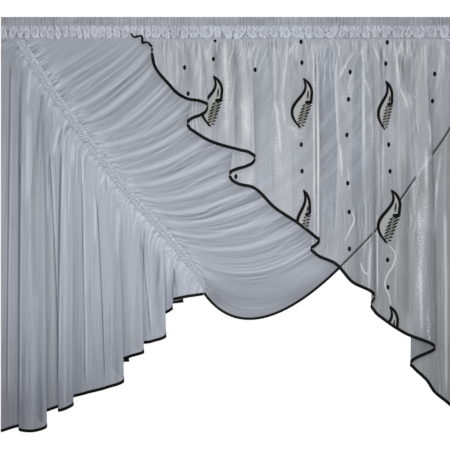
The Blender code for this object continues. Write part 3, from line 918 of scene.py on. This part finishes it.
def puffs(across, down, phase):
    """Height and paleness of the tape's two rows of puffs: painted highlights on their lower rims, and
    painted shade between the puffs.
    """
    chance = np.random.default_rng(46).uniform(-1, 1, (3, 160))
    height, puff_light_and_shade = np.zeros_like(across), np.zeros_like(across)
    for moved, middle, foot, lift, seed in PUFF_ROWS:
        place = phase + moved
        lean, low, size = chance[:, seed + np.floor(place).astype(int), None]
        side = (2 * (place - np.floor(place)) - 1)[:, None]
        side = np.abs(side - 0.5 * lean * (down - (middle + foot) / 2) / 20) * (1.0 + 0.2 * size)
        drop = np.clip((down - middle) / (foot + 3 * low - middle), -1, 1.3)
        # 0 in the middle of the puff, 1 at its uneven outline
        reach = (side**2.4 + np.abs(drop) ** 3.0) ** (1 / 2.7)
        reach += 0.16 * soft_noise(across / 6, down / 6, 45 + seed)
        puff = np.sqrt(np.clip(1 - reach**3, 0, 1))
        painted_rim_highlight = np.exp(-(((reach - 0.82) / 0.16) ** 2)) * ramp(drop, 0.0, 0.5)
        height = np.maximum(height, lift * puff)
        puff_light_and_shade = np.maximum(puff_light_and_shade, (0.35 * ramp(puff, 0, 0.4) + 0.75 * painted_rim_highlight) * (0.7 + 0.3 * low))
    return height, puff_light_and_shade


def heading_sections():
    """Upright sections of the heading: the gathered header strip and the puffs of the tape below it."""
    columns = np.linspace(0, WIDTH, round(WIDTH / HEADING_STEP) + 1)
    left_pitch, right_pitch = PUFF_PITCHES
    pitch = left_pitch + (right_pitch - left_pitch) * ramp(columns, *PUFF_CHANGE)
    phase = np.concatenate(([0.0], np.cumsum(np.diff(columns) / pitch[1:])))
    phase += uneven(columns, 0 * columns, PUFF_WANDER)
    across, down = np.meshgrid(columns, np.linspace(0, HEADING_DROP, HEADING_ROWS + 1), indexing="ij")
    height, puff_light_and_shade = puffs(across, down, phase)
    tape = ramp(down, HEADER_DROP - 2, HEADER_DROP + 5)
    header = 0.4 + 1.2 * gathers(across, down, *HEADER_GATHERS)
    crumple = gathers(across + uneven(across, down, CRUMPLE_WANDER), down, *CRUMPLE)
    share = np.clip((down - HEADER_DROP) / (HEADING_DROP - HEADER_DROP), 0, 1)
    relief = (1.0 + height + 1.8 * crumple) * np.sqrt(np.clip(1 - share**12, 0.05, 1))
    forward = header * (1 - tape) + relief * tape
    front = np.stack((across, down + 1.2 * height * ramp(share, 0.7, 1.0), forward), axis=-1)
    back = np.stack((across, down, np.full_like(across, HEADING_BACK)), axis=-1)[:, [-1, 0]]
    # Uneven patches of tone, with painted highlights on the crests of the crumpled tape
    patches_and_painted_highlights = uneven(across, down, TAPE_PATCHES) + 0.45 * (crumple - 0.5)
    blotches = uneven(across, down, HEADER_BLOTCHES)
    fullness_and_painted_light = (1 - tape) * blotches + tape * (0.2 + 0.8 * puff_light_and_shade + patches_and_painted_highlights)
    # Painted highlights on the crests of the heading and painted shade in its hollows
    marks = {"fullness_and_painted_light": fullness_and_painted_light, "painted_shade_and_layers": painted_fold_shade(forward, HEADING_PAINTED_CRESTS)}
    marks = {label: np.pad(values, ((0, 0), (0, 2))) for label, values in marks.items()}
    return np.concatenate((front, back), axis=1), marks


def seam_sections():
    """Sections across the seam tape, with fine puckers that lean to its middle line from both sides."""
    places, middle, to_swag, half = seam_frame(TAPE_STEP)
    along, share = np.meshgrid(places, np.linspace(-1, 1, TAPE_CORNERS), indexing="ij")
    rough = 1 + 0.16 * soft_noise(along / 5, share * 0.9, 52)
    rough -= 0.1 * np.cos(2 * math.pi * along / PUCKER_PITCH)
    flat = middle[:, None] + to_swag[:, None] * (half[:, None] * share * rough)[..., None]
    base = lining_forward(middle[:, 1])[:, None]
    phase = along / PUCKER_PITCH + 0.5 * np.abs(share) + 1.2 * soft_noise(along / 14, share * 3.0, 51)
    pucker = (0.5 + 0.5 * np.cos(2 * math.pi * phase)) ** 1.5
    swell = np.clip(1 - share**2, 0, 1) ** 1.1
    forward = base - 0.3 + (3.6 + 2.6 * pucker - np.exp(-(share / 0.12) ** 2)) * swell
    front = np.dstack((flat[..., 0], np.maximum(flat[..., 1], CLOTH_TOP), forward))
    back = front[:, [-1, 0]]
    back[..., 2] = base + TAPE_BACK
    # Painted highlights on the puckers and painted shade between them
    painted_shade_and_layers = 0.75 * pucker * (1 - 0.5 * np.exp(-(share / 0.15) ** 2)) - 0.35
    # Darker towards the tape's two edges
    marks = {
        "fullness_and_painted_light": np.pad(0.62 - 0.2 * share**4, ((0, 0), (0, 2)), constant_values=0.5),
        "painted_shade_and_layers": np.pad(painted_shade_and_layers, ((0, 0), (0, 2))),
    }
    return np.concatenate((front, back), axis=1), marks


# Shader maths

class Socket:
    """One socket of a node tree. Sums and products of sockets add their own Math nodes."""

    def __init__(self, tree, out=None):
        self.tree, self.out = tree, out

    def node(self, kind, settings=None, inputs=None, output=0):
        made = self.tree.nodes.new(kind)
        for name, value in (settings or {}).items():
            setattr(made, name, value)
        for key, value in (inputs or {}).items():
            if isinstance(value, Socket):
                self.tree.links.new(value.out, made.inputs[key])
            else:
                made.inputs[key].default_value = value
        return Socket(self.tree, made.outputs[output])

    def maths(self, operation, *values):
        return self.node("ShaderNodeMath", {"operation": operation}, dict(enumerate(values)))

    def at_least(self, low):
        return self.maths("MAXIMUM", self, low)

    def mix(self, low, high):
        """The colour between low and high at this socket's value."""
        return self.node("ShaderNodeMix", {"data_type": "RGBA"}, {0: self, 6: low, 7: high}, output=2)

    def __add__(self, other):
        return self.maths("ADD", self, other)

    def __sub__(self, other):
        return self.maths("SUBTRACT", self, other)

    def __rsub__(self, other):
        return self.maths("SUBTRACT", other, self)

    def __mul__(self, other):
        return self.maths("MULTIPLY", self, other)


def start_material(name, roughness, sheen=0.0):
    material = bpy.data.materials.new(name)
    material.use_nodes = True
    shader = material.node_tree.nodes["Principled BSDF"]
    shader.inputs["Roughness"].default_value = roughness
    shader.inputs["Sheen Weight"].default_value = sheen
    shader.inputs["Sheen Roughness"].default_value = 0.4
    return material, shader, Socket(material.node_tree)


def mark(nodes, name):
    """The value that the cloth's points carry under this name."""
    return nodes.node("ShaderNodeAttribute", {"attribute_name": name}, output=2)


def weave_height(nodes, threads):
    """Height of a plain weave on the cloth's own UV map, with this many threads for each metre."""
    place = nodes.node("ShaderNodeUVMap", {"uv_map": "cloth"})
    across, down = (nodes.node("ShaderNodeSeparateXYZ", None, {0: place}, output) for output in (0, 1))
    warp, weft = (nodes.maths("SINE", along * (2 * math.pi * threads)) for along in (across, down))
    return warp * 0.5 + weft * 0.5


def slubs(nodes, across, down, detail=2.0):
    """Uneven threads: noise on the UV map, with this many marks for each metre across and down."""
    place = nodes.node("ShaderNodeUVMap", {"uv_map": "cloth"})
    spread = nodes.node("ShaderNodeMapping", None, {"Vector": place, "Scale": (across, down, 1)})
    return nodes.node("ShaderNodeTexNoise", None, {"Vector": spread, "Scale": 1.0, "Detail": detail})


def between(nodes, value, start, end):
    """0 where the value is below the start, 1 where it is past the end."""
    inputs = {"Value": value, "From Min": start, "From Max": end}
    return nodes.node("ShaderNodeMapRange", {"interpolation_type": "SMOOTHSTEP"}, inputs)


def fine_lines(nodes, across, down, sharp):
    """Thin pale lines that run down the cloth: 1 along each of them and 0 between."""
    away = nodes.maths("ABSOLUTE", slubs(nodes, across, down, 1.0) - 0.5)
    return (1.0 - away * sharp).at_least(0.0)


def join(nodes, shader, name, value):
    nodes.tree.links.new(value.out, shader.inputs[name])


def join_bump(nodes, shader, strength, distance, height):
    bump = nodes.node("ShaderNodeBump", None, {"Strength": strength, "Distance": distance, "Height": height})
    join(nodes, shader, "Normal", bump)


def voile_material():
    """Plain voile: greyer where one layer hangs, paler where it is gathered, with painted shade and
    highlights along its folds and broad patches of painted light and shade.
    """
    material, shader, nodes = start_material("voile", 0.6, 0.25)
    busy = (slubs(nodes, 14, 2.5, 0.0) - 0.4).at_least(0.0) * 3
    # Painted pale and dark streaks of fine folds, in patches
    painted_streaks = (fine_lines(nodes, 150, 2.2, 14) * 0.09 - fine_lines(nodes, 110, 1.8, 22) * 0.2) * busy
    tone = mark(nodes, "fullness_and_painted_light") * 0.2 + mark(nodes, "painted_shade_and_layers") + (slubs(nodes, 90, 6) - 0.5) * 0.12
    tone = tone + painted_streaks + (slubs(nodes, 230, 160) - 0.5) * 0.12 + 0.51
    join(nodes, shader, "Base Color", tone.at_least(0.0).mix(*VOILE_COLOURS))
    join_bump(nodes, shader, 0.12, 0.0006, weave_height(nodes, 900) * 0.3 + slubs(nodes, 700, 40))
    shader.inputs["Alpha"].default_value = VOILE_COVER
    return material


def sheer_satin_material():
    """Sheer satin organza: glossier than voile and crinkled, with its glitter along the folds painted as
    glints and highlights, and painted shade below the swag's hem.
    """
    material, shader, nodes = start_material("sheer satin", 0.36, 0.2)
    full, doubled = mark(nodes, "fullness_and_painted_light"), mark(nodes, "doubled")
    painted_shade_and_layers, painted_glint_lines = mark(nodes, "painted_shade_and_layers"), mark(nodes, "painted_glint")
    busy = (slubs(nodes, 14, 4, 0.0) - 0.45).at_least(0.0) * 4
    # Painted pale and dark streaks of fine folds, in patches
    painted_streaks = (fine_lines(nodes, 120, 2.5, 14) * 0.07 - fine_lines(nodes, 90, 2.0, 20) * 0.07) * busy
    # Painted glints in patches and along the fold crests and glint lines, and painted shine towards white
    # where the tone is high
    painted_glint = (slubs(nodes, 240, 170, 1.0) - 0.53).at_least(0.0) * 16
    patches_and_painted_highlights = (slubs(nodes, 16, 7, 1.0) - 0.54).at_least(0.0) * 7
    calm = nodes.maths("MINIMUM", full + 1.0, 1.0).at_least(0.2)
    on_binding = between(nodes, mark(nodes, "below swag"), -5.0, -1.5)
    below_swag = between(nodes, mark(nodes, "below swag"), 4.5, 8.0)
    over_swag = doubled * 0.2 + OVER_SWAG
    over_binding = mark(nodes, "hem hidden") * 0.7 + OVER_BINDING
    cover = over_swag + (over_binding - over_swag) * on_binding
    cover = cover + (OVER_STUDIO - cover) * below_swag
    painted_crest_light = painted_shade_and_layers.at_least(0.0) * calm + painted_glint_lines
    # Below the swag's hem the satin is painted darker: painted shade
    tone = full * 0.15 + painted_shade_and_layers + doubled * 0.08 - below_swag * 0.28
    tone = tone + (slubs(nodes, 60, 5) - 0.5) * 0.12 + painted_streaks + painted_glint * (patches_and_painted_highlights * calm * 0.25 + painted_crest_light)
    tone = tone + patches_and_painted_highlights * calm * 0.08 + painted_glint_lines * 0.22
    tone = tone + (slubs(nodes, 230, 190) - 0.5) * 0.22 + 0.60
    hue = (doubled * 0.4 + 0.45).at_least(0.0)
    dark, pale = (hue.mix(single, double) for single, double in zip(SATIN_SINGLE, SATIN_DOUBLED))
    painted_shine = (tone - 0.95).at_least(0.0) * 1.3
    join(nodes, shader, "Base Color", painted_shine.mix(tone.at_least(0.0).mix(dark, pale), WHITE))
    join_bump(nodes, shader, 0.22, 0.0015, weave_height(nodes, 1100) * 0.15 + slubs(nodes, 160, 60, 4.0))
    join(nodes, shader, "Alpha", cover)
    return material


def tape_material():
    """Pale tape, with painted shade between its puffs and puckers and painted highlights on their rims."""
    material, shader, nodes = start_material("heading tape", 0.6, 0.2)
    tone = mark(nodes, "fullness_and_painted_light") * 0.5 + mark(nodes, "painted_shade_and_layers") + (slubs(nodes, 120, 120) - 0.5) * 0.3 + 0.41
    join(nodes, shader, "Base Color", tone.at_least(0.0).mix(*TAPE_COLOURS))
    join_bump(nodes, shader, 0.25, 0.001, slubs(nodes, 400, 400))
    return material


def black_satin_material():
    """Nearly matt black satin."""
    material, shader, nodes = start_material("black satin", 0.45)
    shader.inputs["Specular IOR Level"].default_value = 0.07
    join(nodes, shader, "Base Color", slubs(nodes, 60, 200).mix(*BLACK_COLOURS))
    join_bump(nodes, shader, 0.3, 0.0006, slubs(nodes, 180, 60))
    return material


def thread_material(name):
    """Embroidery thread, uneven like fine stitches."""
    dark, pale, roughness = THREADS[name]
    material, shader, nodes = start_material(name, roughness)
    shader.inputs["Specular IOR Level"].default_value = 0.08
    place = nodes.node("ShaderNodeTexCoord", output=3)
    stitches = nodes.node("ShaderNodeTexNoise", None, {"Vector": place, "Scale": 900.0, "Detail": 1.0})
    join(nodes, shader, "Base Color", stitches.mix(dark, pale))
    join_bump(nodes, shader, 0.4, 0.0006, stitches)
    return material


# Embroidery on the sheer panel

def leaf_edges(size, lean, width):
    """Shares down one S-shaped leaf, its left edge, right edge and bud, as offsets from its tip."""
    t = np.linspace(0, 1, LEAF_POINTS)
    down = LEAF_LENGTH * size * t
    # The spine sways to the right and then to the left, and the leaf is narrow at its tip
    spine = 18 * np.sin(2 * math.pi * t**0.9) - 9 * t**3
    half = 26 * np.sin(math.pi * t**0.9) ** 0.8 * (0.5 + 0.5 * ramp(t, 0.1, 0.6))
    right = np.maximum(spine + half, (28 * (1 - t) + 3 * t) * ramp(t, 0.4, 0.5))
    stretch = size * width
    left = np.column_stack(((spine - half) * stretch + lean * down, down))
    right = np.column_stack((np.where(t < 0.99, right, spine) * stretch + lean * down, down))
    bud = np.array((13 * stretch + lean * down[BUD_POINT], down[BUD_POINT]))
    return t, left, right, bud


class Ground:
    """The front of the sheer panel, onto which the embroidery is laid."""

    def __init__(self, strings):
        points = [Vector(point) for point in in_metres(strings).reshape(-1, 3)]
        self.tree = BVHTree.FromPolygons(points, grid_faces(*strings.shape[:2]).tolist())

    def forward(self, across, down):
        """How far forward the cloth is at this place, or None beside it."""
        start = Vector(((across - WIDTH / 2) / 1000, -1.0, -down / 1000))
        hit = self.tree.ray_cast(start, Vector((0, 1, 0)))[0]
        return None if hit is None else -hit.y * 1000

    def fill(self, shapes, lift):
        """Points and faces of grids of places laid on the cloth, without those beside it or over a fold."""
        points, faces = [], []
        for shape, raised in shapes:
            shape = np.asarray(shape, dtype=float)
            heights = [[self.forward(*place) for place in row] for row in shape]
            first = len(points)
            for i, row in enumerate(shape):
                for j, place in enumerate(row):
                    points.append((*place, (heights[i][j] or 0.0) + lift + raised[i][j]))
            width = shape.shape[1]
            for i in range(shape.shape[0] - 1):
                for j in range(width - 1):
                    around = [heights[i][j], heights[i][j + 1], heights[i + 1][j + 1], heights[i + 1][j]]
                    if None in around or max(around) - min(around) > FOLD_EDGE:
                        continue
                    if heights[0][0] is not None and max(around) - heights[0][0] > LAYER_GAP:
                        continue
                    k = first + i * width + j
                    faces.append((k, k + 1, k + width + 1, k + width))
        return drop_loose(points, faces)


def drop_loose(points, faces):
    """The same faces, with only the points that they use."""
    used = sorted({k for face in faces for k in face})
    place = {k: n for n, k in enumerate(used)}
    return np.array([points[k] for k in used]), [tuple(place[k] for k in face) for face in faces]


def stroke(line, widths, height):
    """A raised stroke of thread along a line of places: a grid of places and how far each is raised."""
    line = np.asarray(line, dtype=float)
    along = directions(line)
    side = np.column_stack((-along[:, 1], along[:, 0]))
    shares = np.array((-1, -0.7, 0, 0.7, 1))
    grid = line[:, None] + side[:, None] * (np.asarray(widths)[:, None] / 2 * shares[None])[..., None]
    raised = np.repeat((height * (1 - shares**2))[None], len(line), axis=0)
    return grid, raised


def oval(middle, half_width, half_height):
    """Rings of places around a middle."""
    turn = np.linspace(0, 2 * math.pi, OVAL_PLACES)
    edge = np.column_stack((half_width * np.cos(turn), half_height * np.sin(turn)))
    return np.array(middle) + np.array(OVAL_RINGS)[:, None, None] * edge[None]


def leaf_work():
    """Outlines, fills, ribs and comb stitches of all the leaves."""
    outlines, fills, ribs, combs = [], [], [], []
    for across, down, size, lean, width in LEAVES:
        tip = np.array((across, down))
        t, left, right, bud = leaf_edges(size, lean, width)
        outlines.append(stroke(tip + left, size * (4 + 7.5 * np.sin(math.pi * t) ** 0.6), 1.0))
        into_bud = bud + size * np.array((13 * width, -4))
        bend = curve_through(np.vstack((right[t <= 0.36][::3], into_bud, bud)), 50)
        outlines.append(stroke(tip + bend, size * (5 + 5.0 * ramp(np.linspace(0, 1, 50), 0, 0.25)), 1.0))
        round_bud = oval(tip + bud, BUD_SIZE * size, BUD_SIZE * size)
        outlines.append((round_bud, np.full(round_bud.shape[:2], 1.3)))
        across_leaf = np.linspace(0, 1, 13)
        grid = left[:, None] * (1 - across_leaf)[None, :, None] + right[:, None] * across_leaf[None, :, None]
        fills.append((tip + grid, np.zeros(grid.shape[:2])))
        foot = right[-1] + np.array((1, -6)) * size
        share = np.linspace(0, 1, 30)
        rib = tip + bud + share[:, None] * (foot - bud)
        thick = 5 + 17 * np.sin(math.pi * share**0.8) * (1 - 0.5 * share)
        ribs.append(stroke(rib, size * width * thick, 0.2))
        for k in range(COMB_STITCHES):
            middle = bud + (k + 0.8) / COMB_STITCHES * (foot - bud)
            along = k / COMB_STITCHES
            left_reach = size * width * (15 + 8 * math.sin(math.pi * along) - 6 * along)
            right_reach = size * width * (23 - 14 * along)
            for start, end in (
                ((-5.0, -1.0), (-left_reach, 0.65 * left_reach - 4)),
                ((4.0, 1.0), (right_reach, 3 - 0.55 * right_reach)),
            ):
                line = middle + np.linspace(start, end, 4)
                combs.append(stroke(tip + line, size * np.array((3.8, 5.2, 5.2, 3.8)), 0.4))
        for beside in (-3.5, 0, 3.5):
            line = bud + size * width * np.linspace((beside + 2, -12), (0.3 * beside + 5, -44), 8)
            combs.append(stroke(tip + line, size * 1.9 * np.sin(np.linspace(0.4, 2.8, 8)), 0.3))
    return outlines, fills, ribs, combs


def dot_work():
    """Small raised ovals."""
    raised = 1.4 * (1 - np.array(OVAL_RINGS) ** 2)
    raised = np.repeat(raised[:, None], OVAL_PLACES, axis=1)
    return [(oval(middle, DOT_HALF_WIDTH, DOT_HALF_HEIGHT), raised) for middle in DOTS]


def curl_work():
    """Thin strokes that swell to their middle."""
    widths = 7.0 * np.sin(np.linspace(0.25, math.pi - 0.25, 50)) ** 0.5
    return [stroke(curve_through(curl, 50), widths, 0.8) for curl in CURLS]


# The curtain

def below_line(strings, line):
    """How far each place of the cloth hangs below a line behind it, square to the line."""
    across, down = strings[..., 0], strings[..., 1]
    order = np.argsort(line[:, 0])
    hem = np.interp(across, line[order, 0], line[order, 1])
    beside = np.interp(across + 1, line[order, 0], line[order, 1])
    return np.clip((down - hem) / np.hypot(1, beside - hem), -100, 100)


def hidden_stretches(strings):
    """1 where doubled cloth hides the swag's hem, 0 where the hem shows through the panel."""
    across, soft = strings[..., 0], HIDDEN_EDGE
    hidden = np.zeros_like(across)
    for start, end in HEM_HIDDEN:
        hidden += ramp(across, start - soft, start + soft) * ramp(across, end + soft, end - soft)
    return hidden


def build():
    """All the pieces, attached to the root body, with the solids that they stand for hidden."""
    voile, satin = voile_material(), sheer_satin_material()
    tape, black = tape_material(), black_satin_material()
    thread = {name: thread_material(name) for name in THREADS}

    tail, tail_marks = tail_strings()
    swag, swag_marks = swag_strings()
    panel, panel_marks = panel_strings()
    panel_marks["below swag"] = below_line(panel, swag[-1])
    panel_marks["hem hidden"] = hidden_stretches(panel)
    heading, heading_marks = heading_sections()
    seam, seam_marks = seam_sections()
    tail_edge = hem_binding(tail[:, -1], tail[:, -6], TAIL_BINDING_WIDTH)
    swag_edge = hem_binding(swag[-1], swag[-4], SWAG_BINDING_WIDTH, SWAG_BINDING_WRAP, SWAG_BINDING_STOP)
    panel_edge = hem_binding(panel[:, -1], panel[:, -5], PANEL_BINDING_WIDTH, lead=PANEL_BINDING_LEAD)

    piece = {}
    for name, add, shape, marks, material, node, slot in (
        ("voile_tail", add_cloth, tail, tail_marks, voile, "tail_panel", "plain_voile"),
        ("voile_swag", add_cloth, swag, swag_marks, voile, "swag_panel", "plain_voile"),
        ("sheer_panel", add_cloth, panel, panel_marks, satin, "front_panel", "sheer_satin"),
        ("gathered_heading", add_band, heading, heading_marks, tape, "heading", "heading_tape"),
        ("ruched_seam", add_band, seam, seam_marks, tape, "seam_tape", "heading_tape"),
        ("tail_hem_binding", add_band, tail_edge, {}, black, "tail_binding", "black_satin"),
        ("swag_hem_binding", add_band, swag_edge, {}, black, "swag_binding", "black_satin"),
        ("panel_hem_binding", add_band, panel_edge, {}, black, "front_binding", "black_satin"),
    ):
        piece[name] = add(name, shape, marks, material)
        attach(piece[name], "root")
        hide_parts(node)
    loose = [add_band(name, narrow_band(line, width), {}, black) for name, width, line in LOOSE_BINDINGS]
    for band in loose:
        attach(band, "root")

    ground = Ground(panel)
    outlines, fills, ribs, combs = leaf_work()
    for name, shapes, lift, colour in (
        ("leaf_fills", fills, 0.8, "olive grey thread"),
        ("leaf_ribs", ribs, 1.3, "dark olive thread"),
        ("leaf_outlines", outlines, 1.6, "black thread"),
        ("leaf_comb_stitches", combs, 2.2, "black thread"),
        ("embroidered_dots", dot_work(), 0.8, "black thread"),
        ("white_curls", curl_work(), 0.8, "white thread"),
    ):
        motif = add_piece(name, *ground.fill(shapes, lift), thread[colour])
        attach(motif, "root")


def aim(thing, target):
    """Turns a lamp to face a place."""
    thing.rotation_euler = (Vector(target) - thing.location).to_track_quat("-Z", "Y").to_euler()


def studio():
    """A pale floor, soft light from the front and the upper right, and a camera straight in front."""
    scene = bpy.context.scene
    bpy.ops.object.select_all(action="DESELECT")
    bpy.ops.mesh.primitive_plane_add(size=6, location=(0, 0.2, -1.95))
    floor = bpy.context.object
    floor.name = "floor"
    pale, shader, _ = start_material("pale floor", 0.9)
    shader.inputs["Base Color"].default_value = FLOOR_COLOUR
    floor.data.materials.append(pale)

    world = bpy.data.worlds.new("white studio")
    world.use_nodes = True
    nodes = Socket(world.node_tree)
    seen = nodes.node("ShaderNodeLightPath", output=0)
    strength = seen * 0.42 + 0.58
    background = world.node_tree.nodes["Background"]
    background.inputs["Color"].default_value = WHITE
    world.node_tree.links.new(strength.out, background.inputs["Strength"])
    scene.world = world
    scene.view_settings.view_transform = "Standard"

    # Each light's name, place, target, size, power and spread in degrees
    for name, place, target, size, power, spread in (
        ("front light", (-0.15, -2.3, -0.68), (-0.15, 0, -0.68), 0.8, 3.8, 84),
        ("high light", (0.7, -2.0, 1.2), (0.1, 0, -0.5), 0.7, 4.0, 150),
    ):
        light = bpy.data.lights.new(name, "AREA")
        light.size = size
        light.energy = power
        light.spread = math.radians(spread)
        lamp = bpy.data.objects.new(name, light)
        scene.collection.objects.link(lamp)
        lamp.location = place
        aim(lamp, target)

    view = bpy.data.cameras.new("camera")
    view.lens = 180
    view.sensor_width = 36
    view.clip_end = 60
    camera = bpy.data.objects.new("camera", view)
    scene.collection.objects.link(camera)
    camera.location = (-0.0566, -8.145, -0.753)
    camera.rotation_euler = (math.pi / 2, 0, 0)
    scene.camera = camera


build()
studio()
